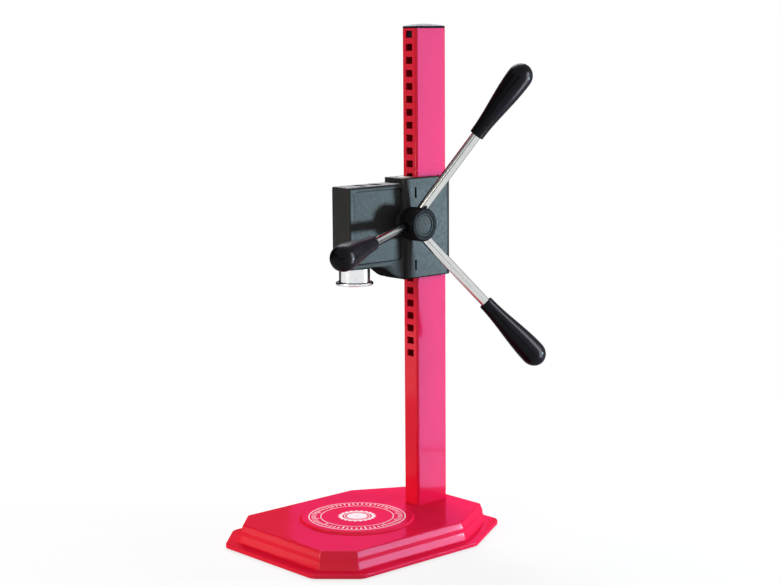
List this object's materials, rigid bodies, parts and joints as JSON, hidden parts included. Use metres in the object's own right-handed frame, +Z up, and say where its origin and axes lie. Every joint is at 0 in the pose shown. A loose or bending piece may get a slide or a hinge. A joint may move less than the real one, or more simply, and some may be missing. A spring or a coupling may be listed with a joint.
{
  "type": "bench capper",
  "caption": "Bench capper: pressed red base with a bottle pad, slotted rack column, and a geared sliding head with a capping bell, moved by a spoked hand wheel.",
  "frame": {"origin": "centre of the bottle pad's top face, on the capping bell's axis", "axes": "+Z up along the column, +X from the bottle's axis to the column, -Y towards the wheel"},
  "size_m": [0.2827, 0.2177, 0.5229],
  "materials": {
    "red_paint": "gloss",
    "housing_grey": "satin",
    "chrome_plate": "mirror",
    "black_gloss": "gloss",
    "bright_steel": "machined",
    "bearing_bronze": "satin",
    "nylon": "satin",
    "foot_rubber": "matte",
    "cap_grey": "satin"
  },
  "bodies": {
    "stand": {"base_plate": "red_paint", "rubber_feet": "foot_rubber", "backing_plate": "bright_steel", "base_washers": "bright_steel", "base_bolts": "bright_steel", "column_tube": "red_paint", "column_foot": "bright_steel", "column_cap": "black_gloss"},
    "head": {"head_body": "housing_grey", "guide_block_upper": "nylon", "guide_block_lower": "nylon", "guide_keys": "bright_steel", "rear_guide_pads": "nylon", "bush_front": "bearing_bronze", "bush_rear": "bearing_bronze", "bearing_cover": "housing_grey", "cover_screws": "bright_steel", "bell_insert": "bearing_bronze", "bell_stud": "bright_steel", "bell_cup": "chrome_plate", "bell_magnet": "bright_steel"},
    "wheel": {"pinion": "bright_steel", "pinion_pin": "bright_steel", "pinion_shaft": "bright_steel", "friction_washer": "nylon", "spring_washer": "bright_steel", "hub": "black_gloss", "hub_screw": "bright_steel", "hub_cap": "cap_grey", "spoke_rod_1": "chrome_plate", "spoke_rod_2": "chrome_plate", "spoke_rod_3": "chrome_plate", "grip_1": "black_gloss", "grip_2": "black_gloss", "grip_3": "black_gloss"}
  },
  "joints": [
    {"name": "head_slide", "type": "slide", "parent": "stand", "child": "head", "axis": [0, 0, 1], "range_m": [-0.12, 0.14]},
    {"name": "wheel_spin", "type": "hinge", "parent": "head", "child": "wheel", "pos_m": [0.06032, 0, 0.298], "axis": [0, 1, 0], "range_deg": [-415, 485]}
  ],
  "couplings": [
    {"joint": "wheel_spin", "follows": "head_slide", "rad_per_m": 59.954}
  ]
}
